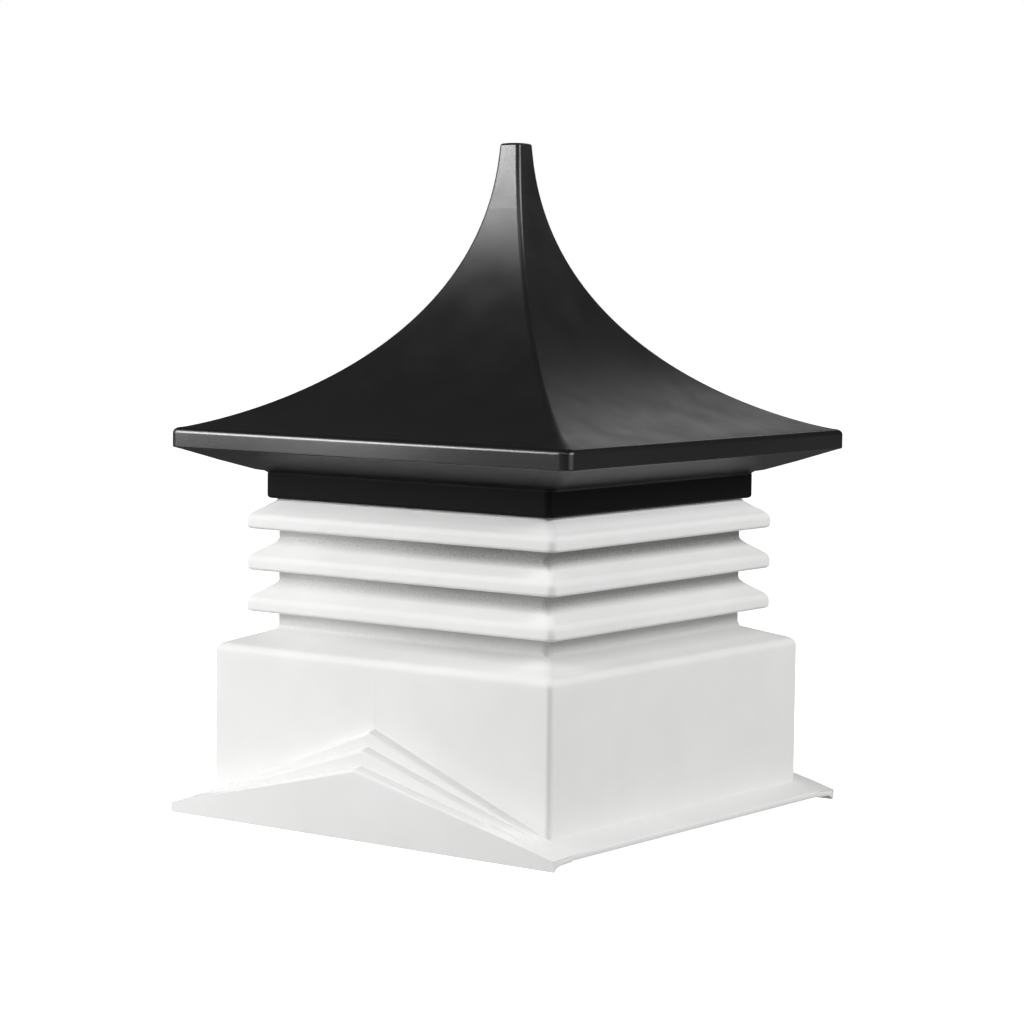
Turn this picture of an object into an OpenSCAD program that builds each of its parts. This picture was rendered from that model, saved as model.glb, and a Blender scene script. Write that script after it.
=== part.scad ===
// Moulded shed cupola: a white louvred body that straddles a ridge, and a black swept roof.
// Front and back are the gable faces. Left and right are the eave faces.

/* [Body] */
// Width of the box across the eave faces
box_w = 351; // [200:1:600]
// Depth of the box across the gable faces
box_d = 364; // [200:1:620]
// Height where the box walls end and the shoulder starts
box_top = 135; // [80:1:300]
// Thickness of the moulded plastic
skin = 3; // [1.5:0.1:6]
// Radius of the box's upright corners
box_corner = 5; // [2:0.5:20]

/* [Base] */
// Width of the base over both eave flanges
base_w = 397; // [220:1:700]
// Depth of the base over both gable panels
base_d = 417; // [220:1:700]
// Apex height of the outer gable panel
apex_outer = 59.8; // [20:0.1:200]
// Apex height of the lower gable step
apex_lower = 74.2; // [30:0.1:220]
// Apex height of the upper gable step
apex_upper = 87.6; // [40:0.1:240]
// Height of the eave flange where it leaves the wall
flange_z = 18.4; // [8:0.1:60]
// Height of the base's corners
tip_z = 9.8; // [5:0.1:40]

/* [Louvres] */
// Width of the recessed bands between the louvres
band_w = 283; // [160:1:560]
// Height of the foot of the lowest band, where the shoulder ends
shoulder_top = 154; // [90:0.5:320]
// Width over the louvre noses
louvre_w = 322; // [180:1:600]
// Height of the underside of the lowest louvre
louvre_z = 169.2; // [100:0.1:400]
// Distance from one louvre to the next
louvre_pitch = 34.85; // [15:0.05:90]
// Height of the upright nose of a louvre
louvre_nose = 12.5; // [4:0.1:40]
// Height of a whole louvre
louvre_h = 25.4; // [10:0.1:70]

/* [Roof] */
// Width over the roof's lower edge
rim_w = 412; // [220:1:700]
// Height of the underside of the rim
rim_z = 307; // [150:0.5:600]
// Height of the upper edge of the rim
rim_top = 322; // [160:0.5:620]
// Radius of the rim's corners seen from above
rim_corner = 12; // [3:0.5:40]
// Width of the collar under the roof
collar_w = 298; // [160:1:560]
// Height of the collar's lower edge
collar_z = 264.5; // [120:0.5:560]
// Height where the collar meets the sloping soffit
collar_top = 285; // [140:0.5:600]
// Total height
total_h = 564; // [300:1:1200]
// Width of the square neck at the top
neck_w = 21; // [16:0.5:60]
// Radius of the socket for the weathervane rod
socket_r = 6.5; // [3:0.1:12]

/* [Hidden] */
$fn = 48;
// longer than any piece, for cutting solids
far = 400;
// how far a cutting solid stands proud of what it cuts
over = 1;
bx = box_w / 2;
by = box_d / 2;
ex = base_w / 2;
ey = base_d / 2;
bw = band_w / 2;
lw = louvre_w / 2;
cw = collar_w / 2;
rw = rim_w / 2;
// depth of one step of the base, and how far a ledge starts behind its riser's face
step = (ey - by) / 3;
lap = 1;
// corner radii seen from above
band_corner = 4;
louvre_corner = 7;
collar_corner = 7;
// round where the walls meet the shoulder: how far in from the wall, how far above box_top
shoulder_round = [[0, 2], [1, 5.6], [4.4, 8.6]];
// louvre nose: chamfer under it, then its brow as [in from the nose, above louvre_nose]
drip = [2.5, 2];
brow = [[0, -4], [1.6, -0.8], [5.5, 2.6]];
// how much of the skin's thickness shows on a louvre's upright and on its slopes
upright_share = 0.5;
slope_share = 0.4;
// swept roof: four control points of [half width, height], and how finely it is drawn
steps = 30;
neck_steps = 3;
rim_overhang = [2, 0.5];
rim_pull = [-8.4, -0.1];
neck_pull = [9.6, 43.5];
r0 = [rw, rim_top] + rim_overhang;
r1 = [rw, rim_top] + rim_pull;
r2 = [neck_w / 2, rim_top] + neck_pull;
r3 = [neck_w / 2, total_h];

function sweep(t) = pow(1 - t, 3) * r0 + 3 * pow(1 - t, 2) * t * r1
  + 3 * (1 - t) * pow(t, 2) * r2 + pow(t, 3) * r3;
function sweep_dir(t) = 3 * pow(1 - t, 2) * (r1 - r0) + 6 * (1 - t) * t * (r2 - r1)
  + 3 * pow(t, 2) * (r3 - r2);
function inside(t, d) = sweep(t) - d / norm(sweep_dir(t)) * [sweep_dir(t)[1], -sweep_dir(t)[0]];
function mirrored(pts) = concat(pts, [for (i = [len(pts) - 1 : -1 : 0]) [-pts[i][0], pts[i][1]]]);

// a section seen from the front, drawn out front to back
module front_to_back(y0, y1) {
  translate([0, y1, 0]) rotate([90, 0, 0]) linear_extrude(y1 - y0) children();
}

// a square body with the same outline seen from the front and from the side
module four_sided(pts) {
  intersection() {
    front_to_back(-far, far) polygon(mirrored(pts));
    rotate([0, 0, 90]) front_to_back(-far, far) polygon(mirrored(pts));
  }
}

module rounded(w, d, r) {
  square([w - 2 * r, d], center = true);
  square([w, d - 2 * r], center = true);
  for (i = [-1, 1], j = [-1, 1]) translate([i * (w / 2 - r), j * (d / 2 - r)]) circle(r);
}

module rounded_block(w, d, r, z0, z1) {
  translate([0, 0, z0]) linear_extrude(z1 - z0) rounded(w, d, r);
}

module straight_ring(half, z0, z1, r) {
  difference() {
    rounded_block(2 * half, 2 * half, r, z0, z1);
    rounded_block(2 * (half - skin), 2 * (half - skin), max(r - skin, 1), z0 - over, z1 + over);
  }
}

// the strip between two inverted V lines, as a section seen from the front
module chevron(low, high) {
  polygon([[-ex, tip_z - skin], [-bx, flange_z - skin], [0, low - skin], [bx, flange_z - skin],
    [ex, tip_z - skin], [ex, tip_z], [bx, flange_z], [0, high], [-bx, flange_z], [-ex, tip_z]]);
}

// Base: outer gable panel with its ledge, two steps above it, and the eave flanges
module gable_panel_at() {
  front_to_back(-ey, -ey + skin)
    polygon([[-ex, 0], [ex, 0], [ex, tip_z], [bx, flange_z], [0, apex_outer], [-bx, flange_z], [-ex, tip_z]]);
  front_to_back(-ey + lap, -ey + step) chevron(apex_outer, apex_outer);
}

module gable_step_at(y, low, high) {
  front_to_back(y, y + skin) chevron(low, high);
  front_to_back(y + lap, y + step) chevron(high, high);
}

module gable_panel_front() { color([0.93, 0.93, 0.92]) gable_panel_at(); }
module gable_panel_back() { color([0.93, 0.93, 0.92]) rotate([0, 0, 180]) gable_panel_at(); }
module gable_step_lower_front() {
  color([0.92, 0.92, 0.91]) gable_step_at(-ey + step, apex_outer, apex_lower);
}
module gable_step_lower_back() {
  color([0.92, 0.92, 0.91]) rotate([0, 0, 180]) gable_step_at(-ey + step, apex_outer, apex_lower);
}
module gable_step_upper_front() {
  color([0.93, 0.93, 0.92]) gable_step_at(-ey + 2 * step, apex_lower, apex_upper);
}
module gable_step_upper_back() {
  color([0.93, 0.93, 0.92]) rotate([0, 0, 180]) gable_step_at(-ey + 2 * step, apex_lower, apex_upper);
}

module eave_flange_at() {
  front_to_back(-by, by)
    polygon([[bx, flange_z - skin], [ex, tip_z - skin], [ex, tip_z], [bx, flange_z]]);
}
module eave_flange_left() { color([0.92, 0.92, 0.91]) rotate([0, 0, 180]) eave_flange_at(); }
module eave_flange_right() { color([0.92, 0.92, 0.91]) eave_flange_at(); }

// Box walls, standing on the slope that the ridge side of the body makes
module box_skin() {
  intersection() {
    difference() {
      rounded_block(box_w, box_d, box_corner, 0, box_top);
      rounded_block(box_w - 2 * skin, box_d - 2 * skin, box_corner - skin, -over, box_top + over);
    }
    front_to_back(-far, far) polygon([[-bx, flange_z - skin], [0, apex_upper - skin],
      [bx, flange_z - skin], [bx, far], [-bx, far]]);
  }
}

module wall_front() {
  color([0.93, 0.93, 0.92]) intersection() {
    box_skin();
    translate([-far, -far, -far]) cube([2 * far, far - by + box_corner, 2 * far]);
  }
}
module wall_back() {
  color([0.93, 0.93, 0.92]) intersection() {
    box_skin();
    translate([-far, by - box_corner, -far]) cube([2 * far, far, 2 * far]);
  }
}
module wall_left() {
  color([0.92, 0.92, 0.91]) translate([-bx, -by + box_corner, flange_z - skin])
    cube([skin, box_d - 2 * box_corner, box_top - flange_z + skin]);
}
module wall_right() {
  color([0.92, 0.92, 0.91]) translate([bx - skin, -by + box_corner, flange_z - skin])
    cube([skin, box_d - 2 * box_corner, box_top - flange_z + skin]);
}

// Shoulder: the sloping top of the box, rounded where it leaves the walls
function shoulder_section(half, off) = concat([[half - off, box_top - over]],
  [for (p = shoulder_round) [half - off - p[0], box_top + p[1]]], [[bw - off, shoulder_top - off]]);

module shoulder_solid(off) {
  intersection() {
    front_to_back(-far, far) polygon(mirrored(shoulder_section(bx, off)));
    rotate([0, 0, 90]) front_to_back(-far, far) polygon(mirrored(shoulder_section(by, off)));
    rounded_block(box_w - 2 * off, box_d - 2 * off, box_corner - off, 0, far);
  }
}

module shoulder() {
  color([0.94, 0.94, 0.93]) intersection() {
    difference() {
      shoulder_solid(0);
      four_sided([[bw - skin, box_top - 2], [bw - skin, shoulder_top + 2]]);
      shoulder_solid(skin - 0.01);
    }
    translate([-far, -far, box_top]) cube([2 * far, 2 * far, far]);
  }
}

// Bands and louvres
module band_at(z0, z1) { straight_ring(bw, z0, z1, band_corner); }

module louvre_outline(d, z) {
  nose = z + louvre_nose;
  four_sided([[bw - d, z + d], [lw - drip[0] - d, z + d], [lw - d, z + drip[1] + d * upright_share],
    [lw - d, nose + brow[0][1]], [lw - brow[1][0] - d, nose + brow[1][1] - d * slope_share],
    [lw - brow[2][0] - d, nose + brow[2][1] - d * upright_share],
    [bw - d, z + louvre_h - d * slope_share]]);
}

module louvre_at(z) {
  intersection() {
    difference() {
      louvre_outline(0, z);
      louvre_outline(skin, z);
      four_sided([[bw - skin, z - over], [bw - skin, z + louvre_h + over]]);
    }
    rounded_block(louvre_w, louvre_w, louvre_corner, z - over, z + louvre_h + over);
  }
}

module band_lower() { color([0.9, 0.9, 0.89]) band_at(shoulder_top, louvre_z); }
module louvre_lower() { color([0.94, 0.94, 0.93]) louvre_at(louvre_z); }
module band_middle() { color([0.9, 0.9, 0.89]) band_at(louvre_z + louvre_h, louvre_z + louvre_pitch); }
module louvre_middle() { color([0.94, 0.94, 0.93]) louvre_at(louvre_z + louvre_pitch); }
module band_upper() {
  color([0.9, 0.9, 0.89]) band_at(louvre_z + louvre_pitch + louvre_h, louvre_z + 2 * louvre_pitch);
}
module louvre_upper() { color([0.94, 0.94, 0.93]) louvre_at(louvre_z + 2 * louvre_pitch); }
module top_ring() {
  color([0.9, 0.9, 0.89]) band_at(louvre_z + 2 * louvre_pitch + louvre_h, collar_top - 1);
}

// Roof: collar, sloping soffit, upright rim, swept shell and neck
module roof_collar() { color([0.13, 0.13, 0.14]) straight_ring(cw, collar_z, collar_top, collar_corner); }

module roof_soffit() {
  color([0.13, 0.13, 0.14]) intersection() {
    difference() {
      four_sided([[cw, collar_top], [rw - skin, rim_z], [rw - skin, rim_z + skin]]);
      four_sided([[cw - skin, collar_top - 1], [cw - skin, collar_top + skin], [rw - skin, rim_z + skin],
        [rw - skin, rim_z + 10]]);
    }
    rounded_block(rim_w - 2 * skin, rim_w - 2 * skin, rim_corner - skin, 0, far);
  }
}

module roof_rim() {
  color([0.13, 0.13, 0.14]) difference() {
    rounded_block(rim_w, rim_w, rim_corner, rim_z, rim_top);
    rounded_block(rim_w - 2 * skin, rim_w - 2 * skin, rim_corner - skin, rim_z - over, rim_top + over);
  }
}

module swept(t0, t1, d) {
  span = round(steps * (t1 - t0));
  four_sided([for (i = [0 : span]) d == 0 ? sweep(t0 + i / steps) : inside(t0 + i / steps, d)]);
}

module roof_shell() {
  color([0.13, 0.13, 0.14]) difference() {
    intersection() {
      swept(0, 1 - neck_steps / steps, 0);
      rounded_block(rim_w, rim_w, rim_corner, rim_top - 5, total_h);
    }
    four_sided(concat([[rw - 10, rim_top - 6]], [for (i = [1 : steps - neck_steps]) inside(i / steps, skin)],
      [[neck_w / 2 + 1, total_h - 20]]));
  }
}

module roof_neck() {
  color([0.13, 0.13, 0.14]) difference() {
    swept(1 - neck_steps / steps, 1, 0);
    translate([0, 0, total_h / 2]) cylinder(h = total_h, r = socket_r);
  }
}

gable_panel_front();
gable_panel_back();
gable_step_lower_front();
gable_step_lower_back();
gable_step_upper_front();
gable_step_upper_back();
eave_flange_left();
eave_flange_right();
wall_front();
wall_back();
wall_left();
wall_right();
shoulder();
band_lower();
louvre_lower();
band_middle();
louvre_middle();
band_upper();
louvre_upper();
top_ring();
roof_collar();
roof_soffit();
roof_rim();
roof_shell();
roof_neck();
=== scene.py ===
"""Looks of the moulded shed cupola: white louvred body and black swept roof, on a pale studio floor.

Lengths are in metres. X runs across the ridge, Y along it, Z up. The gable faces look along Y.
"""
import math
from collections import namedtuple

import bmesh
import bpy
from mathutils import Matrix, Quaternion, Vector


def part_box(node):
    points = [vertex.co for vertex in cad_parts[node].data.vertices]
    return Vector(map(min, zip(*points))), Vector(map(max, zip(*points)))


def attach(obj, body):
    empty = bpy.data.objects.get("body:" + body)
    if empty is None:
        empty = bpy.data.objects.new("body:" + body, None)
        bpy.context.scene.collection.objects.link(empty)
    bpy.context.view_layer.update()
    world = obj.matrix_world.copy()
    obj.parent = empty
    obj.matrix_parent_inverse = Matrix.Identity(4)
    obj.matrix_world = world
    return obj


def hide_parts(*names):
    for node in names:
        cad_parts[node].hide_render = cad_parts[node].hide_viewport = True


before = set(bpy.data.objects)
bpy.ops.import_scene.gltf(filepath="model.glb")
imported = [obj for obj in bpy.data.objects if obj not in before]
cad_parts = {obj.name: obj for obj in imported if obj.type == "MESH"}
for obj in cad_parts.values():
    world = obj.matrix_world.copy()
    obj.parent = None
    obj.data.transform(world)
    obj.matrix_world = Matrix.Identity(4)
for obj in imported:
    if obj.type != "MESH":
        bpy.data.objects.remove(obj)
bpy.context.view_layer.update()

MM = 0.001
SKIN = 3 * MM
CORNER_STEPS = 6
SMOOTH_UNDER = 40
MERGE_WITHIN = 0.00002
SEAM_WIDTH = 0.9 * MM
SEAM_RISE = 0.42 * MM

# ---------------------------------------------------------------- sizes taken from the frame


def half_x(node):
    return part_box(node)[1].x


def half_y(node):
    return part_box(node)[1].y


def foot(node):
    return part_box(node)[0].z


def top(node):
    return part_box(node)[1].z


BOX_X, BOX_Y = half_x("wall_right"), half_y("wall_back")
BASE_X, BASE_Y = half_x("gable_panel_back"), half_y("gable_panel_back")
STEP = (BASE_Y - BOX_Y) / 3
BAND = half_x("band_lower")
NOSE = half_x("louvre_lower")
COLLAR = half_x("roof_collar")
RIM = half_x("roof_rim")
RIM_FOOT = foot("roof_rim")
RIM_TOP = top("roof_rim")
TOTAL = top("roof_neck")
NECK_FOOT = foot("roof_neck")
NECK = 10.5 * MM
BORE = 6.5 * MM
# how close a vertex has to be to a place to count as lying on it
HAIR = 0.1 * MM
TOUCH = 1e-5

# ---------------------------------------------------------------- bench tools


def clear_selection():
    if bpy.context.mode != "OBJECT":
        bpy.ops.object.mode_set(mode="OBJECT")
    bpy.ops.object.select_all(action="DESELECT")


def pick(piece, wanted):
    """Selects the vertices that pass a test, and the edges and faces between them."""
    mesh = bmesh.from_edit_mesh(piece.data)
    for vert in mesh.verts:
        vert.select_set(False)
    for vert in mesh.verts:
        if wanted(vert):
            vert.select_set(True)
    mesh.select_flush(True)
    bmesh.update_edit_mesh(piece.data)


def arc(centre, radius, start, end, steps):
    """Points on a round of a profile, angles in degrees, 0 outwards and 90 up."""
    turn = [math.radians(start + (end - start) * i / steps) for i in range(steps + 1)]
    return [(centre[0] + radius * math.cos(a), centre[1] + radius * math.sin(a)) for a in turn]


def finish_piece(piece, node, material):
    """Points faces outwards, smooths them, and ties the piece to the frame."""
    bpy.ops.object.mode_set(mode="EDIT")
    bpy.ops.mesh.select_all(action="SELECT")
    bpy.ops.mesh.remove_doubles(threshold=MERGE_WITHIN)
    bpy.ops.mesh.normals_make_consistent(inside=False)
    bpy.ops.object.mode_set(mode="OBJECT")
    bpy.ops.object.shade_smooth_by_angle(angle=math.radians(SMOOTH_UNDER))
    steady = piece.modifiers.new("steady shading", "WEIGHTED_NORMAL")
    steady.keep_sharp = True
    steady.weight = 80
    bpy.ops.object.modifier_apply(modifier=steady.name)
    piece.data.materials.clear()
    piece.data.materials.append(material)
    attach(piece, "root")
    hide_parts(node)
    clear_selection()


# ---------------------------------------------------------------- mouldings with four alike sides


def four_sided(name, rings):
    """Draws a moulding ring by ring. A ring is (half width, half depth, height, corner radius).

    The last ring lands on the first one, so the moulding is a closed wall.
    """
    clear_selection()
    wide, deep, height, radius = rings[0]
    bpy.ops.mesh.primitive_plane_add(size=2)
    piece = bpy.context.object
    piece.name = piece.data.name = name
    bpy.ops.object.mode_set(mode="EDIT")
    bpy.ops.mesh.select_all(action="SELECT")
    bpy.ops.transform.resize(value=(wide, deep, 1))
    bpy.ops.transform.translate(value=(0, 0, height))
    bpy.ops.mesh.bevel(affect="VERTICES", offset=radius, segments=CORNER_STEPS)
    bpy.ops.mesh.delete(type="ONLY_FACE")
    bpy.ops.mesh.select_all(action="SELECT")
    for last, ring in zip(rings, rings[1:]):
        draw_ring(piece, last, ring)
    bpy.ops.object.mode_set(mode="OBJECT")
    return piece


def draw_ring(piece, last, ring):
    """Extrudes the selected outline and moves its four corners to the next ring."""
    bpy.ops.mesh.extrude_region_move()
    bpy.ops.transform.translate(value=(0, 0, ring[2] - last[2]))
    fresh = {v.index for v in bmesh.from_edit_mesh(piece.data).verts if v.select}
    grow = ring[3] / last[3]
    for side_x in (-1, 1):
        for side_y in (-1, 1):
            pick(piece, lambda v: v.index in fresh and v.co.x * side_x > 0 and v.co.y * side_y > 0)
            centre = Vector((side_x * (last[0] - last[3]), side_y * (last[1] - last[3]), ring[2]))
            goal = Vector((side_x * (ring[0] - ring[3]), side_y * (ring[1] - ring[3]), ring[2]))
            if abs(grow - 1) > 1e-6:
                bpy.ops.transform.resize(value=(grow, grow, 1), center_override=centre)
            bpy.ops.transform.translate(value=goal - centre)
    pick(piece, lambda v: v.index in fresh)


def parting_line(piece):
    """Raises the thin seam that the mould's two halves leave up the middle of the front and back."""
    bpy.ops.object.mode_set(mode="EDIT")
    for place in (-SEAM_WIDTH, 0, SEAM_WIDTH):
        bpy.ops.mesh.select_all(action="SELECT")
        bpy.ops.mesh.bisect(plane_co=(place, 0, 0), plane_no=(1, 0, 0))
    middle = [v for v in bmesh.from_edit_mesh(piece.data).verts if abs(v.co.x) < HAIR]
    heights = sorted({round(v.co.z, 5) for v in middle})
    deepest = {z: max(abs(v.co.y) for v in middle if round(v.co.z, 5) == z) for z in heights}
    for side in (-1, 1):
        pick(piece, lambda v: abs(v.co.x) < HAIR and v.co.y * side > 0
             and abs(v.co.y) > deepest[round(v.co.z, 5)] - HAIR)
        bpy.ops.transform.translate(value=(0, side * SEAM_RISE, 0))
    bpy.ops.object.mode_set(mode="OBJECT")


def square_rings(points, radius):
    """Rings of a square moulding from its profile of (half width, height)."""
    return [(w, w, z, radius) for w, z in points]


# ---------------------------------------------------------------- finishes


def nodes_of(material):
    material.use_nodes = True
    tree = material.node_tree
    return tree, tree.nodes["Principled BSDF"]


def grain(tree, coords, scale, detail):
    noise = tree.nodes.new("ShaderNodeTexNoise")
    noise.inputs["Scale"].default_value = scale
    noise.inputs["Detail"].default_value = detail
    tree.links.new(coords.outputs["Object"], noise.inputs["Vector"])
    return noise.outputs["Fac"]


def spread(tree, source, low, high, to_low, to_high):
    remap = tree.nodes.new("ShaderNodeMapRange")
    for name, value in zip(("From Min", "From Max", "To Min", "To Max"), (low, high, to_low, to_high)):
        remap.inputs[name].default_value = value
    tree.links.new(source, remap.inputs["Value"])
    return remap.outputs["Result"]


def bump(tree, height, strength, distance, under=None):
    node = tree.nodes.new("ShaderNodeBump")
    node.inputs["Strength"].default_value = strength
    node.inputs["Distance"].default_value = distance
    tree.links.new(height, node.inputs["Height"])
    if under is not None:
        tree.links.new(under, node.inputs["Normal"])
    return node.outputs["Normal"]


def colour_mix(tree, factor, high):
    mix = tree.nodes.new("ShaderNodeMix")
    mix.data_type = "RGBA"
    mix.inputs["B"].default_value = (*high, 1)
    tree.links.new(factor, mix.inputs["Factor"])
    return mix


def blend_colours(tree, factor, low, high):
    """From one colour to another as the factor rises."""
    mix = colour_mix(tree, factor, high)
    mix.inputs["A"].default_value = (*low, 1)
    return mix.outputs["Result"]


def paint_over(tree, factor, under, colour):
    """From what lies under to a colour as the factor rises."""
    mix = colour_mix(tree, factor, colour)
    tree.links.new(under, mix.inputs["A"])
    return mix.outputs["Result"]


def combine(tree, operation, first, second):
    node = tree.nodes.new("ShaderNodeMath")
    node.operation = operation
    tree.links.new(first, node.inputs[0])
    tree.links.new(second, node.inputs[1])
    return node.outputs["Value"]


def size_of(tree, source):
    node = tree.nodes.new("ShaderNodeMath")
    node.operation = "ABSOLUTE"
    tree.links.new(source, node.inputs[0])
    return node.outputs["Value"]


def places(tree, coords):
    """The skin's own place, as X, Y and Z."""
    place = tree.nodes.new("ShaderNodeSeparateXYZ")
    tree.links.new(coords.outputs["Object"], place.inputs["Vector"])
    return place.outputs


WHITE_DARK = (0.80, 0.80, 0.788)
WHITE_LIGHT = (0.83, 0.83, 0.825)
BLACK_SATIN = (0.009, 0.009, 0.009, 1)
BLACK_DULL = (0.007, 0.007, 0.007, 1)
# painted light: the top louvre is painted whiter, from one height to the other, to stand in for light
# lost in the shade under the roof
PAINTED_LIGHT = (0.97, 0.97, 0.965)
PAINTED_LIGHT_FROM, PAINTED_LIGHT_TO = 0.247, 0.255
# the bands' skin, from pale to a grey of painted shade for the shade in the recesses between louvres
PALE = (0.80, 0.80, 0.785)
SHADE_GREY = (0.27, 0.27, 0.26)
# the painted shade grows from left to right (in parts of BAND), by specks, and with height up towards
# the louvre above
GREY_FROM, GREY_TO = -0.8, 0.4
GREY_ACROSS, GREY_SPECK = 0.7, 0.3
GREY_FOOT, GREY_TOP = 0.158, 0.236
GREY_AT_FOOT = 0.42


def white_moulded(name):
    """White polyethylene skin: faint clouding and fine peel."""
    material = bpy.data.materials.new(name)
    tree, surface = nodes_of(material)
    coords = tree.nodes.new("ShaderNodeTexCoord")
    cloud = spread(tree, grain(tree, coords, scale=14, detail=4), 0.35, 0.65, 0, 1)
    tree.links.new(blend_colours(tree, cloud, WHITE_DARK, WHITE_LIGHT), surface.inputs["Base Color"])
    surface.inputs["Roughness"].default_value = 0.62
    surface.inputs["IOR"].default_value = 1.45
    surface.inputs["Specular IOR Level"].default_value = 0.3
    fine, broad = grain(tree, coords, scale=900, detail=3), grain(tree, coords, scale=25, detail=2)
    peel = bump(tree, fine, strength=0.25, distance=0.0002)
    sway = bump(tree, broad, strength=0.25, distance=0.002, under=peel)
    tree.links.new(sway, surface.inputs["Normal"])
    return material


def black_moulded():
    """Black polyethylene skin: satin, gently wavy, with dull patches."""
    material = bpy.data.materials.new("black_moulded")
    tree, surface = nodes_of(material)
    coords = tree.nodes.new("ShaderNodeTexCoord")
    surface.inputs["Base Color"].default_value = BLACK_SATIN
    patches = grain(tree, coords, scale=30, detail=5)
    tree.links.new(spread(tree, patches, 0.3, 0.7, 0.30, 0.38), surface.inputs["Roughness"])
    surface.inputs["IOR"].default_value = 1.5
    surface.inputs["Specular IOR Level"].default_value = 0.62
    fine, broad = grain(tree, coords, scale=1100, detail=2), grain(tree, coords, scale=12, detail=2)
    peel = bump(tree, fine, strength=0.2, distance=0.0002)
    sway = bump(tree, broad, strength=0.13, distance=0.004, under=peel)
    tree.links.new(sway, surface.inputs["Normal"])
    return material


def black_even(name, roughness, shine):
    """The same black skin without waves or patches, on the collar, the soffit and the rim."""
    material = bpy.data.materials.new(name)
    tree, surface = nodes_of(material)
    coords = tree.nodes.new("ShaderNodeTexCoord")
    surface.inputs["Base Color"].default_value = BLACK_DULL
    surface.inputs["Roughness"].default_value = roughness
    surface.inputs["Specular IOR Level"].default_value = shine
    peel = bump(tree, grain(tree, coords, scale=1100, detail=2), strength=0.2, distance=0.0002)
    tree.links.new(peel, surface.inputs["Normal"])
    return material


def painted_shade_grey(tree, coords, place):
    """How much painted shade, from 0 to 1: most on the right half of the front, and more higher up."""
    # painted shade: the recess under each louvre is painted grey, darker higher up
    across = spread(tree, place["X"], GREY_FROM * BAND, GREY_TO * BAND, 0, GREY_ACROSS)
    speck = spread(tree, grain(tree, coords, scale=700, detail=3), 0.35, 0.7, 0, GREY_SPECK)
    upward = spread(tree, place["Z"], GREY_FOOT, GREY_TOP, GREY_AT_FOOT, 1)
    return combine(tree, "MULTIPLY", combine(tree, "ADD", across, speck), upward)


def white_grainy_painted_shade():
    """White skin with a fine sandy grain, and painted shade in grey on the recessed bands between
    louvres.
    """
    material = bpy.data.materials.new("white_grainy_painted_shade")
    tree, surface = nodes_of(material)
    coords = tree.nodes.new("ShaderNodeTexCoord")
    grey = painted_shade_grey(tree, coords, places(tree, coords))
    tree.links.new(blend_colours(tree, grey, PALE, SHADE_GREY), surface.inputs["Base Color"])
    surface.inputs["Roughness"].default_value = 0.6
    grain_and_shade = bump(tree, grain(tree, coords, scale=1200, detail=2), strength=0.5, distance=0.0004)
    tree.links.new(grain_and_shade, surface.inputs["Normal"])
    return material


def white_to_painted_shade(name, start, end):
    """The white skin with painted shade where it runs into a band's recess, and painted light on the top
    louvre.

    It is all painted shade up to start outside the band's face, and has none from end onwards.
    """
    material = white_moulded(name)
    tree, surface = nodes_of(material)
    coords = tree.nodes.new("ShaderNodeTexCoord")
    place = places(tree, coords)
    reach = combine(tree, "MAXIMUM", size_of(tree, place["X"]), size_of(tree, place["Y"]))
    # painted shade: the white turns to the bands' grey near the band, in the corner where shade falls
    near = spread(tree, reach, BAND + start, BAND + end, 1, 0)
    grain_and_shade = combine(tree, "MULTIPLY", painted_shade_grey(tree, coords, place), near)
    white = surface.inputs["Base Color"].links[0].from_socket
    # painted light: the top louvre's slope is painted whiter against the shade of the roof
    fresh = spread(tree, place["Z"], PAINTED_LIGHT_FROM, PAINTED_LIGHT_TO, 0, 1)
    white_with_shade = paint_over(tree, grain_and_shade, white, SHADE_GREY)
    tree.links.new(paint_over(tree, fresh, white_with_shade, PAINTED_LIGHT), surface.inputs["Base Color"])
    return material


WHITE = white_moulded("white_moulded")
# painted shade near the bands on the louvres and shoulder, painted light on the top louvre
LOUVRE = white_to_painted_shade("white_louvre", 1 * MM, 8 * MM)
SLOPE = white_to_painted_shade("white_slope", 4 * MM, 19 * MM)
# painted shade: the bands between louvres are painted grey where shade falls in their recesses
GRAINY_PAINTED_SHADE = white_grainy_painted_shade()
BLACK = black_moulded()
MATT = black_even("black_matt", roughness=0.5, shine=0.05)
EDGE = black_even("black_edge", roughness=0.27, shine=0.62)
DULL = black_even("black_dull", roughness=0.42, shine=0.22)

# ---------------------------------------------------------------- roof

ROOF_STEPS = 54
NECK_STEPS = 6
ROOF_START = 0.10
SWEEP_PROBE = 0.001
SWEEP = [Vector(p) for p in (
    (RIM + 2 * MM, RIM_TOP + 0.5 * MM),
    (RIM - 8.4 * MM, RIM_TOP - 0.1 * MM),
    (NECK + 9.6 * MM, RIM_TOP + 43.5 * MM),
    (NECK, TOTAL),
)]


def sweep(t):
    """A point of the roof's swept profile, t from 0 at the rim to 1 at the neck's top."""
    a, b, c, d = SWEEP
    return (1 - t) ** 3 * a + 3 * (1 - t) ** 2 * t * b + 3 * (1 - t) * t ** 2 * c + t ** 3 * d


def sweep_at(height):
    """The t at which the swept profile reaches a height."""
    low, high = 0.0, 1.0
    for _ in range(40):
        middle = (low + high) / 2
        low, high = (middle, high) if sweep(middle).y < height else (low, middle)
    return low


def inward(t, depth):
    """A point of the profile's inner face."""
    ahead = sweep(min(t + SWEEP_PROBE, 1)) - sweep(max(t - SWEEP_PROBE, 0))
    return sweep(t) - depth * Vector((ahead.y, -ahead.x)).normalized()


def hip_radius(t):
    """Corner radius of the roof, widest at the rim."""
    return (3.6 + 4 * (1 - t) ** 3) * MM


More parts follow.
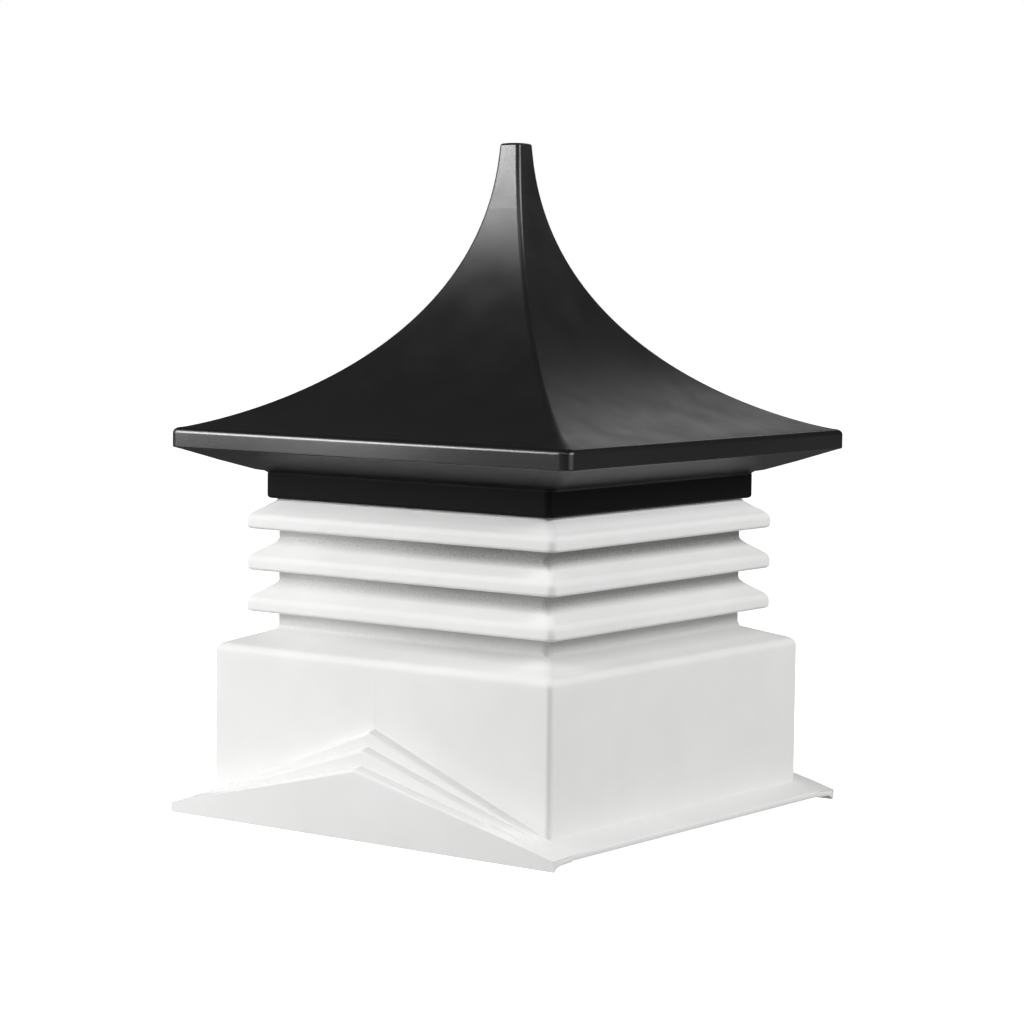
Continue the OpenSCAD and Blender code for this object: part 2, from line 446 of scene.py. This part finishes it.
def make_roof_shell():
    neck_t = sweep_at(NECK_FOOT)
    rise = [ROOF_START + (neck_t - ROOF_START) * i / ROOF_STEPS for i in range(ROOF_STEPS + 1)]
    outer = [(*sweep(t).xx, sweep(t).y, hip_radius(t)) for t in rise]
    tighter = 2 * MM
    inner = [(*inward(t, SKIN).xx, inward(t, SKIN).y, hip_radius(t) - tighter)
             for t in reversed(rise[2:])]
    piece = four_sided("roof_shell_moulded", [*outer, *inner, outer[0]])
    finish_piece(piece, "roof_shell", BLACK)


# the round lip at the neck's top: in from its side and down from its top, in millimetres
NECK_LIP = ((0, 2.2), (0.2, 1.6), (0.8, 1), (2, 0.5))
BORE_CHAMFER = 0.5 * MM
# a corner's radius stays a little under half the width
NEARLY_ROUND = 0.999


def make_roof_neck():
    """The narrow top of the roof, with a round socket down its middle."""
    neck_t = sweep_at(NECK_FOOT)
    rise = [neck_t + (1 - neck_t) * i / NECK_STEPS for i in range(NECK_STEPS + 1)]
    outer = [(*sweep(t).xx, sweep(t).y, hip_radius(t)) for t in rise]
    wide = outer.pop()[0]
    lip = [(wide - drop * MM, wide - drop * MM, TOTAL - low * MM, hip_radius(1) - drop * MM)
           for drop, low in NECK_LIP]
    mouth = BORE + BORE_CHAMFER
    socket = [(mouth, mouth, TOTAL, BORE * NEARLY_ROUND + BORE_CHAMFER),
              (BORE, BORE, TOTAL - BORE_CHAMFER, BORE * NEARLY_ROUND),
              (BORE, BORE, NECK_FOOT, BORE * NEARLY_ROUND)]
    piece = four_sided("roof_neck_moulded", [*outer, *lip, *socket, outer[0]])
    finish_piece(piece, "roof_neck", BLACK)


# where the skirt is divided, from its middle, and how far the bow reaches, in millimetres
SKIRT_PLACES = (0, 30, 60, 90, 120, 150, 180)
SKIRT_EASE = 95
SKIRT_BOW = 0.4 * MM
SKIRT_DIP = 0.6


def bow_skirt(piece, below):
    """Pushes the skirt's lower edge out a little between its stiff corners."""
    bpy.ops.object.mode_set(mode="EDIT")
    for place in SKIRT_PLACES:
        for side in (-1, 1):
            for normal in ((1, 0, 0), (0, 1, 0)):
                bpy.ops.mesh.select_all(action="SELECT")
                bpy.ops.mesh.bisect(plane_co=[side * place * MM * n for n in normal], plane_no=normal)
    for place in SKIRT_PLACES:
        push = SKIRT_BOW * max(-SKIRT_DIP, 1 - (place / SKIRT_EASE) ** 2)
        for side in (-1, 1):
            for along, across in ((0, 1), (1, 0)):
                pick(piece, lambda v: v.co.z < below and abs(abs(v.co[along]) - place * MM) < HAIR
                     and v.co[across] * side > RIM - SKIN)
                move = [side * push if i == across else 0 for i in range(3)]
                bpy.ops.transform.translate(value=move)
    bpy.ops.object.mode_set(mode="OBJECT")


RIM_EDGE, RIM_LIP = 4.6 * MM, 1.2 * MM
RIM_CORNER = 9 * MM
# the upper round stops here, in degrees, and its centre is this part of its radius under the roof
EDGE_END = 78
EDGE_SINK = 0.985


def make_roof_rim():
    """The skirt round the roof's foot, round at its lower lip and at its upper edge."""
    skirt = RIM - SKIRT_BOW
    outer = arc((skirt - RIM_LIP, RIM_FOOT + RIM_LIP), RIM_LIP, -80, 0, 3)
    start = sweep(ROOF_START)
    outer += arc((skirt - RIM_EDGE, start.y - RIM_EDGE * EDGE_SINK), RIM_EDGE, 0, EDGE_END, 7)
    outer.append(tuple(start))
    inner = [(start.x, start.y - 2 * MM), (RIM - SKIN, RIM_TOP - 6 * MM),
             (RIM - SKIN, RIM_FOOT + 0.5 * MM)]
    piece = four_sided("roof_rim_moulded", square_rings([*outer, *inner, outer[0]], RIM_CORNER))
    bow_skirt(piece, RIM_FOOT + 2 * RIM_LIP)
    finish_piece(piece, "roof_rim", EDGE)


# the soffit's bend out of the collar: outwards and upwards, in millimetres
SOFFIT_BEND = ((0, 0), (0.4, 1.2), (2.4, 2.6))
SOFFIT_CORNER = 8 * MM


def make_roof_soffit():
    """The roof's underside, rising from the collar's top out to the rim's foot."""
    low, high = top("roof_collar"), RIM_FOOT
    rise = (high - low) / (RIM - COLLAR)
    straight = 8 * MM
    outer = [(COLLAR + out * MM, low + up * MM) for out, up in SOFFIT_BEND]
    outer += [(COLLAR + straight, low + rise * straight + 0.6 * MM),
              ((COLLAR + RIM) / 2, (low + high) / 2 + 0.3 * MM),
              (RIM - 6 * MM, high - rise * 4 * MM),
              (RIM - 1.4 * MM, high + 0.2 * MM)]
    inner = [(RIM - SKIN, high + SKIN), (COLLAR - SKIN, low + SKIN + 1 * MM), (COLLAR - SKIN, low)]
    rings = square_rings([*outer, *inner, outer[0]], SOFFIT_CORNER)
    piece = four_sided("roof_soffit_moulded", rings)
    finish_piece(piece, "roof_soffit", DULL)


COLLAR_CORNER = 7 * MM


def make_roof_collar():
    """The black band that holds the roof on the body."""
    low, high = foot("roof_collar"), top("roof_collar")
    edge = 2.5 * MM
    outer = arc((COLLAR - edge, low + edge), edge, -90, 0, 5) + [(COLLAR, high)]
    inner = [(COLLAR - SKIN, high), (COLLAR - SKIN, low + 1 * MM)]
    rings = square_rings([*outer, *inner, outer[0]], COLLAR_CORNER)
    piece = four_sided("roof_collar_moulded", rings)
    finish_piece(piece, "roof_collar", MATT)


# ---------------------------------------------------------------- louvres and bands


# a louvre's sloping top turns up into its band: out from the band and up from the louvre's top,
# in millimetres
LOUVRE_FILLET = ((5.2, -4.2), (3.2, -2.6), (1.7, -1.1), (0.6, 0.6), (0.1, 2), (0, 3))
LOUVRE_CORNER = 7 * MM
BAND_CORNER = 6 * MM


def make_louvre(node):
    """One louvre: a flat underside, a thick nose with a big soft brow, and a sloping top."""
    low, high = foot(node), top(node)
    drip, brow = 3 * MM, 8 * MM
    outer = [(BAND, low), (BAND + 0.5 * MM, low)] + arc((NOSE - drip, low + drip), drip, -90, 0, 5)
    outer += arc((NOSE - brow, low + 7 * MM), brow, 0, 51, 7)
    outer += [(BAND + out * MM, high + up * MM) for out, up in LOUVRE_FILLET]
    inner = [(BAND - SKIN, outer[-1][1]), (BAND - SKIN + 1 * MM, high - 4 * MM),
             (NOSE - 10 * MM, low + 9 * MM), (NOSE - SKIN, low + 6 * MM), (NOSE - SKIN, low + SKIN),
             (BAND - SKIN, low + SKIN), (BAND - SKIN, low)]
    rings = square_rings([*outer, *inner, outer[0]], LOUVRE_CORNER)
    piece = four_sided(node + "_moulded", rings)
    parting_line(piece)
    finish_piece(piece, node, LOUVRE)


def make_band(node):
    """A plain upright band between louvres."""
    low, high = foot(node), top(node)
    rings = [(BAND, low), (BAND, low + 1 * MM), (BAND, high - 1 * MM), (BAND, high),
             (BAND - SKIN, high), (BAND - SKIN, low), (BAND, low)]
    piece = four_sided(node + "_moulded", square_rings(rings, BAND_CORNER))
    parting_line(piece)
    finish_piece(piece, node, GRAINY_PAINTED_SHADE)


# ---------------------------------------------------------------- box

WALL_ROUND = 5 * MM
# the front and back walls reach round the corners to here, where the side walls begin
WALL_SPLIT = BOX_Y - WALL_ROUND - 1 * MM
BROW = 8 * MM
BROW_END = 74
# the shoulder's slope turns up into the lowest band: out and up, in millimetres
SHOULDER_FILLET = ((5, -1.6), (2.2, -0.6), (0.6, 0.8), (0, 2.6))


def make_shoulder():
    """The box's sloping top, from the top of the walls round to the lowest band."""
    low, high = foot("shoulder"), top("shoulder")
    extra = BOX_Y - BOX_X
    outer = [(BOX_X, low), *arc((BOX_X - BROW, low + 1 * MM), BROW, 0, BROW_END, 8)]
    outer += [(BAND + out * MM, high + up * MM) for out, up in SHOULDER_FILLET]
    inner = [(BAND - SKIN, outer[-1][1]), (BAND - SKIN, high - SKIN),
             (BOX_X - BROW, low + BROW - SKIN), (BOX_X - SKIN, low)]
    rings = []
    for wide, height in [*outer, *inner, outer[0]]:
        longer = extra * min(1, max(0, (wide - BAND) / (BOX_X - BROW - BAND)))
        radius = WALL_ROUND if wide > BAND else WALL_ROUND - SKIN / 2
        rings.append((wide, wide + longer, height, radius))
    piece = four_sided("shoulder_moulded", rings)
    finish_piece(piece, "shoulder", SLOPE)


def cut_away(place, normal):
    """Removes what lies in front of a plane and closes the cut."""
    bpy.ops.mesh.select_all(action="SELECT")
    bpy.ops.mesh.bisect(plane_co=place, plane_no=normal, use_fill=True, clear_outer=True)


def box_ring(name, low, high):
    """The box's four walls in one, before they are cut apart."""
    outer = [(BOX_X, BOX_Y, low, WALL_ROUND), (BOX_X, BOX_Y, low + 1 * MM, WALL_ROUND),
             (BOX_X, BOX_Y, high - 1 * MM, WALL_ROUND), (BOX_X, BOX_Y, high, WALL_ROUND)]
    inner = [(BOX_X - SKIN, BOX_Y - SKIN, high, WALL_ROUND - SKIN / 2),
             (BOX_X - SKIN, BOX_Y - SKIN, low, WALL_ROUND - SKIN / 2)]
    return four_sided(name, [*outer, *inner, outer[0]])


def make_gable_wall(node, side):
    """A wall above the gable steps, with both upright corners of the box. Its foot is an inverted V."""
    low, high = foot("wall_right"), top("wall_right")
    piece = box_ring(node + "_moulded", low, high)
    bpy.ops.object.mode_set(mode="EDIT")
    cut_away((0, side * WALL_SPLIT, 0), (0, -side, 0))
    bpy.ops.mesh.select_all(action="SELECT")
    bpy.ops.mesh.bisect(plane_co=(0, 0, 0), plane_no=(1, 0, 0))
    pick(piece, lambda v: abs(v.co.x) < TOUCH and v.co.z < low + 2 * MM)
    bpy.ops.transform.translate(value=(0, 0, LINE_UPPER.apex - LINE_UPPER.meeting - SKIN))
    parting_line(piece)
    finish_piece(piece, node, WHITE)


def make_eave_wall(node, side):
    """A plain wall on the left or right, between the corners of the gable walls."""
    low, high = foot(node), top(node)
    piece = box_ring(node + "_moulded", low, high)
    bpy.ops.object.mode_set(mode="EDIT")
    cut_away((side * (BOX_X - WALL_ROUND), 0, 0), (-side, 0, 0))
    cut_away((0, WALL_SPLIT, 0), (0, 1, 0))
    cut_away((0, -WALL_SPLIT, 0), (0, -1, 0))
    finish_piece(piece, node, WHITE)


# ---------------------------------------------------------------- stepped base

# an inverted V line's height at its apex, where the lines meet near the corner, and at the corner's tip
Line = namedtuple("Line", "apex meeting tip")
LEDGE_FALL = 1.2 * MM
LINE_OUTER = Line(top("gable_panel_front") - LEDGE_FALL, 14.5 * MM, 8.4 * MM)
LINE_LOWER = Line(top("gable_step_lower_front") - LEDGE_FALL, 16.0 * MM, 9.0 * MM)
LINE_UPPER = Line(top("gable_step_upper_front") - LEDGE_FALL, 17.6 * MM, 9.8 * MM)
LEDGE_ROUND = 3.4 * MM
PANEL_FOOT = 5 * MM
# the lines meet at this X, and the strips are divided at these parts of the way to it
FAN_X = 176 * MM
FAN_STATIONS = (0, 0.008, 0.1, 0.25, 0.4, 0.55, 0.7, 0.82, 0.92, 1)


def on_fan(depth, low, high):
    """Height on the smooth fan at the base's corner, from low at the panel's face to high at the box."""
    inner = (BASE_Y - depth) / (BASE_Y - BOX_Y)
    return low + (high - low) * min(inner, 1)


def stepped_strip(name, rows, lower_rows=()):
    """A strip across the gable end. Rows are (depth, apex height) from the foot up.

    lower_rows are level all the way across. The others fall from the apex to the corner fan.
    """
    clear_selection()
    bpy.ops.mesh.primitive_grid_add(x_subdivisions=2 * len(FAN_STATIONS), y_subdivisions=1, size=2)
    piece = bpy.context.object
    piece.name = piece.data.name = name
    stations = [s * FAN_X for s in FAN_STATIONS] + [BASE_X]
    bpy.ops.object.mode_set(mode="EDIT")
    pick(piece, lambda v: v.co.y > 0)
    bpy.ops.mesh.delete(type="VERT")
    columns = sorted({round(v.co.x, 6) for v in bmesh.from_edit_mesh(piece.data).verts})
    goals = [-s for s in reversed(stations[1:])] + stations
    first = (*lower_rows, *rows)[0]
    for column, goal in zip(columns, goals):
        pick(piece, lambda v: abs(v.co.x - column) < 1e-4 and v.co.z == 0 and v.co.y < -0.5)
        bpy.ops.transform.translate(value=(goal - column, 1 - first[0], first[1] + 1))
    bpy.ops.mesh.select_all(action="SELECT")
    bpy.ops.transform.translate(value=(0, 0, -1))
    last = first
    for row in (*lower_rows, *rows)[1:]:
        bpy.ops.mesh.extrude_region_move()
        bpy.ops.transform.translate(value=(0, last[0] - row[0], row[1] - last[1]))
        last = row
    for depth, height in rows:
        meeting = on_fan(depth, LINE_OUTER.meeting, LINE_UPPER.meeting)
        tip = on_fan(depth, LINE_OUTER.tip, LINE_UPPER.tip)
        for station in stations[1:]:
            goal = height + (meeting - height) * (station / FAN_X) if station <= FAN_X else tip
            for side in (-1, 1):
                pick(piece, lambda v: abs(v.co.x - side * station) < TOUCH
                     and abs(v.co.y + depth) < TOUCH and abs(v.co.z - height) < 0.1 * TOUCH)
                bpy.ops.transform.translate(value=(0, 0, goal - height))
    return piece


def ledge_rows(depth, line):
    """The upper part of a riser, a round edge, and a ledge running in under the next riser."""
    rise = line.apex - LEDGE_ROUND
    edge = arc((0, 0), LEDGE_ROUND, 0, 83, 5)
    rows = [(depth, rise - 1 * MM)]
    rows += [(depth - LEDGE_ROUND + across, rise + up) for across, up in edge]
    return rows + [(depth - STEP - 0.5 * MM, line.apex + LEDGE_FALL)]


def finish_strip(piece, node, side):
    """Turns the strip to its own end of the base and gives it the skin's thickness."""
    bpy.ops.object.mode_set(mode="EDIT")
    bpy.ops.mesh.select_all(action="SELECT")
    bpy.ops.mesh.normals_make_consistent(inside=False)
    if side > 0:
        bpy.ops.transform.rotate(value=math.pi, orient_axis="Z", center_override=(0, 0, 0))
    bpy.ops.object.mode_set(mode="OBJECT")
    if outward(piece) < 0:
        bpy.ops.object.mode_set(mode="EDIT")
        bpy.ops.mesh.flip_normals()
        bpy.ops.object.mode_set(mode="OBJECT")
    wall = piece.modifiers.new("wall", "SOLIDIFY")
    wall.thickness = SKIN * 0.9
    wall.offset = -1
    bpy.ops.object.modifier_apply(modifier=wall.name)
    finish_piece(piece, node, WHITE)


def outward(piece):
    """Positive where the strip's faces look away from the middle and up."""
    return sum(face.area * (face.normal.z + face.normal.y * math.copysign(1, face.center.y))
               for face in piece.data.polygons)


def make_gable_panel(node, side):
    """The outermost face of the base, from its level foot up to the lowest ledge."""
    level = [(BASE_Y, 0), (BASE_Y, PANEL_FOOT)]
    piece = stepped_strip(node + "_moulded", ledge_rows(BASE_Y, LINE_OUTER), level)
    finish_strip(piece, node, side)


def make_gable_step(node, side, depth, line, below):
    """One of the two steps between the panel and the box, standing in the ledge below it."""
    riser_foot = (depth, below.apex - 1 * MM)
    piece = stepped_strip(node + "_moulded", [riser_foot, *ledge_rows(depth, line)])
    finish_strip(piece, node, side)


# the flange's outer edge hangs down by the drip, and its ends lie under the fans by the cover
FLANGE_DRIP = 2 * MM
FAN_COVER = 0.7 * MM
WALL_LIFT = 0.8 * MM
FLANGE_EDGE = 1.6 * MM
# near the gable panel the flange's outer edge curves down to meet the panel's foot
GUSSET_REACH = 10 * MM
GUSSET_DROP = 5.6 * MM
GUSSET_STEPS = 5


def gusset_hang(away):
    """How far the outer edge hangs below its straight run at a distance from the panel's face."""
    return GUSSET_DROP * max(0, 1 - away / GUSSET_REACH) ** 2


def cut_across(place):
    """Divides the open piece across its length, at both ends alike."""
    for end in (-1, 1):
        bpy.ops.mesh.select_all(action="SELECT")
        bpy.ops.mesh.bisect(plane_co=(0, end * place, 0), plane_no=(0, 1, 0))


def make_eave_flange(node, side):
    """A sloping lip along the foot of the eave wall, round at its outer edge.

    Its ends run on under the corner fans and curve down to meet the gable panels.
    """
    clear_selection()
    bpy.ops.mesh.primitive_cube_add(size=2)
    piece = bpy.context.object
    piece.name = piece.data.name = node + "_moulded"
    inner, outer = BOX_X - 2 * MM, BASE_X
    length = BASE_Y - SKIN / 2
    middle = LINE_UPPER.tip - SKIN / 2
    bpy.ops.object.mode_set(mode="EDIT")
    bpy.ops.mesh.select_all(action="SELECT")
    bpy.ops.transform.resize(value=((outer - inner) / 2, length, SKIN / 2))
    bpy.ops.transform.translate(value=((outer + inner) / 2, 0, middle))
    pick(piece, lambda v: v.co.x < inner + 1 * MM)
    bpy.ops.transform.translate(value=(0, 0, LINE_UPPER.meeting - LINE_UPPER.tip + WALL_LIFT))
    pick(piece, lambda v: v.co.x > outer - 1 * MM and v.co.z < middle)
    bpy.ops.transform.translate(value=(0, 0, -FLANGE_DRIP))
    pick(piece, lambda v: v.co.x > outer - 1 * MM)
    bpy.ops.mesh.bevel(offset=FLANGE_EDGE, segments=4)
    for step in range(GUSSET_STEPS):
        cut_across(BASE_Y - GUSSET_REACH * (step + 1) / GUSSET_STEPS)
    cut_across(BOX_Y)
    cut_across(BOX_Y + 1 * MM)
    depths = {round(abs(v.co.y), 5) for v in bmesh.from_edit_mesh(piece.data).verts}
    for depth in sorted(d for d in depths if d > BOX_Y + 0.5 * MM):
        run = (depth - BOX_Y) / (BASE_Y - BOX_Y)
        by_wall = FAN_COVER + WALL_LIFT + run * (LINE_UPPER.meeting - LINE_OUTER.meeting)
        by_edge = FAN_COVER + run * (LINE_UPPER.tip - LINE_OUTER.tip)
        under_edge = {v.index for v in bmesh.from_edit_mesh(piece.data).verts
                      if v.co.x > outer - 2 * FLANGE_EDGE and v.co.z < middle - SKIN / 2}
        for near_wall, fall in ((True, by_wall), (False, by_edge)):
            pick(piece, lambda v: round(abs(v.co.y), 5) == depth
                 and (v.co.x < inner + FLANGE_EDGE) == near_wall)
            bpy.ops.transform.translate(value=(0, 0, -fall))
        pick(piece, lambda v: v.index in under_edge and round(abs(v.co.y), 5) == depth)
        bpy.ops.transform.translate(value=(0, 0, -gusset_hang(BASE_Y - depth)))
    if side < 0:
        bpy.ops.mesh.select_all(action="SELECT")
        bpy.ops.transform.rotate(value=math.pi, orient_axis="Z", center_override=(0, 0, 0))
    finish_piece(piece, node, WHITE)


# ---------------------------------------------------------------- camera, floor and light

# every soft box stands this far from the middle of the louvres, at this height over the floor
LIGHT_REACH = 2.2
LIGHT_AIM = 0.32
# how bright the surround is from below and from above
SURROUND_LOW, SURROUND_HIGH = 0.20, 0.04

# name, azimuth, rise, width, height (all in degrees) and glow
SOFT_BOXES = (
    ("left_key", -43, 14, 12, 21, 21.5),
    ("left_key_top", -35, 17, 5, 15, 22),
    ("left_key_low", -46.5, -2, 15, 9, 2.8),
    ("left_high", -46, 27, 26, 14, 4),
    ("left_wide", -76, 14, 34, 30, 0.7),
    ("front_fill", 0, 16, 60, 36, 0.08),
    ("front_high", 15, 46, 70, 24, 1.45),
    ("front_low", 0, -24, 70, 24, 0.72),
    ("right_key", 99, 27, 36, 24, 8.2),
    ("right_low", 90, 2, 40, 20, 1.4),
    ("back_card", 199, 27, 20, 13, 0.95),
)


def make_camera():
    """A long lens a little above the louvres' height, seeing the front and right faces."""
    azimuth, distance, height = math.radians(36.73), 2.556, 0.466
    pitch, roll = math.radians(4.78), math.radians(0.64)
    data = bpy.data.cameras.new("camera")
    data.lens, data.sensor_width = 106.0, 36
    camera = bpy.data.objects.new("camera", data)
    bpy.context.scene.collection.objects.link(camera)
    camera.location = (math.sin(azimuth) * distance, -math.cos(azimuth) * distance, height)
    look = Vector((-math.sin(azimuth), math.cos(azimuth), -math.tan(pitch)))
    camera.rotation_mode = "QUATERNION"
    camera.rotation_quaternion = look.to_track_quat("-Z", "Y") @ Quaternion((0, 0, 1), roll)
    bpy.context.scene.camera = camera


def soft_light(name, azimuth, rise, wide, tall, glow):
    """A soft box seen from the louvres at an azimuth (0 in front of the front face, 90 on the right).

    Its rise, width and height are in degrees as seen from there, and glow is how bright its face is.
    """
    turn, lift = math.radians(azimuth), math.radians(rise)
    data = bpy.data.lights.new(name, "AREA")
    data.shape = "RECTANGLE"
    data.size = 2 * LIGHT_REACH * math.tan(math.radians(wide / 2))
    data.size_y = 2 * LIGHT_REACH * math.tan(math.radians(tall / 2))
    data.energy = math.pi * data.size * data.size_y * glow
    lamp = bpy.data.objects.new(name, data)
    bpy.context.scene.collection.objects.link(lamp)
    middle = Vector((0, 0, LIGHT_AIM))
    away = Vector((math.sin(turn) * math.cos(lift), -math.cos(turn) * math.cos(lift), math.sin(lift)))
    lamp.location = middle + away * LIGHT_REACH
    lamp.rotation_mode = "QUATERNION"
    lamp.rotation_quaternion = (-away).to_track_quat("-Z", "Y")
    lamp.visible_camera = False


def make_studio():
    """A pale floor, an even pale surround, and soft boxes left, right, in front and behind."""
    clear_selection()
    bpy.ops.mesh.primitive_circle_add(vertices=96, radius=12, fill_type="NGON")
    floor = bpy.context.object
    floor.name = floor.data.name = "studio_floor"
    paint = bpy.data.materials.new("floor_paint")
    tree, surface = nodes_of(paint)
    surface.inputs["Base Color"].default_value = (0.9, 0.9, 0.9, 1)
    surface.inputs["Roughness"].default_value = 0.9
    surface.inputs["Emission Color"].default_value = (1, 1, 1, 1)
    surface.inputs["Emission Strength"].default_value = 1.1
    floor.data.materials.append(paint)
    floor.visible_diffuse = floor.visible_glossy = floor.visible_shadow = False
    make_surround()
    for light in SOFT_BOXES:
        soft_light(*light)
    bpy.context.scene.view_settings.view_transform = "Standard"


def make_surround():
    """A plain white surround that gives little light of its own, a bit more from the floor's side."""
    world = bpy.data.worlds.new("studio")
    bpy.context.scene.world = world
    world.use_nodes = True
    tree = world.node_tree
    dim = tree.nodes["Background"]
    dim.inputs["Color"].default_value = (1, 1, 1, 1)
    coords = tree.nodes.new("ShaderNodeTexCoord")
    place = tree.nodes.new("ShaderNodeSeparateXYZ")
    tree.links.new(coords.outputs["Generated"], place.inputs["Vector"])
    strength = spread(tree, place.outputs["Z"], -0.15, 0.1, SURROUND_LOW, SURROUND_HIGH)
    tree.links.new(strength, dim.inputs["Strength"])
    bright = tree.nodes.new("ShaderNodeBackground")
    bright.inputs["Color"].default_value = (1, 1, 1, 1)
    path = tree.nodes.new("ShaderNodeLightPath")
    mix = tree.nodes.new("ShaderNodeMixShader")
    tree.links.new(path.outputs["Is Camera Ray"], mix.inputs["Fac"])
    tree.links.new(dim.outputs["Background"], mix.inputs[1])
    tree.links.new(bright.outputs["Background"], mix.inputs[2])
    tree.links.new(mix.outputs["Shader"], tree.nodes["World Output"].inputs["Surface"])


# ---------------------------------------------------------------- the cupola

make_camera()
make_studio()

make_roof_collar()
make_roof_soffit()
make_roof_rim()
make_roof_shell()
make_roof_neck()
for level in ("lower", "middle", "upper"):
    make_louvre("louvre_" + level)
    make_band("band_" + level)
make_band("top_ring")
make_shoulder()
make_eave_wall("wall_left", -1)
make_eave_wall("wall_right", 1)
make_eave_flange("eave_flange_left", -1)
make_eave_flange("eave_flange_right", 1)
for face, side in (("front", -1), ("back", 1)):
    make_gable_wall("wall_" + face, side)
    make_gable_panel("gable_panel_" + face, side)
    make_gable_step("gable_step_lower_" + face, side, BASE_Y - STEP, LINE_LOWER, LINE_OUTER)
    make_gable_step("gable_step_upper_" + face, side, BASE_Y - 2 * STEP, LINE_UPPER, LINE_LOWER)
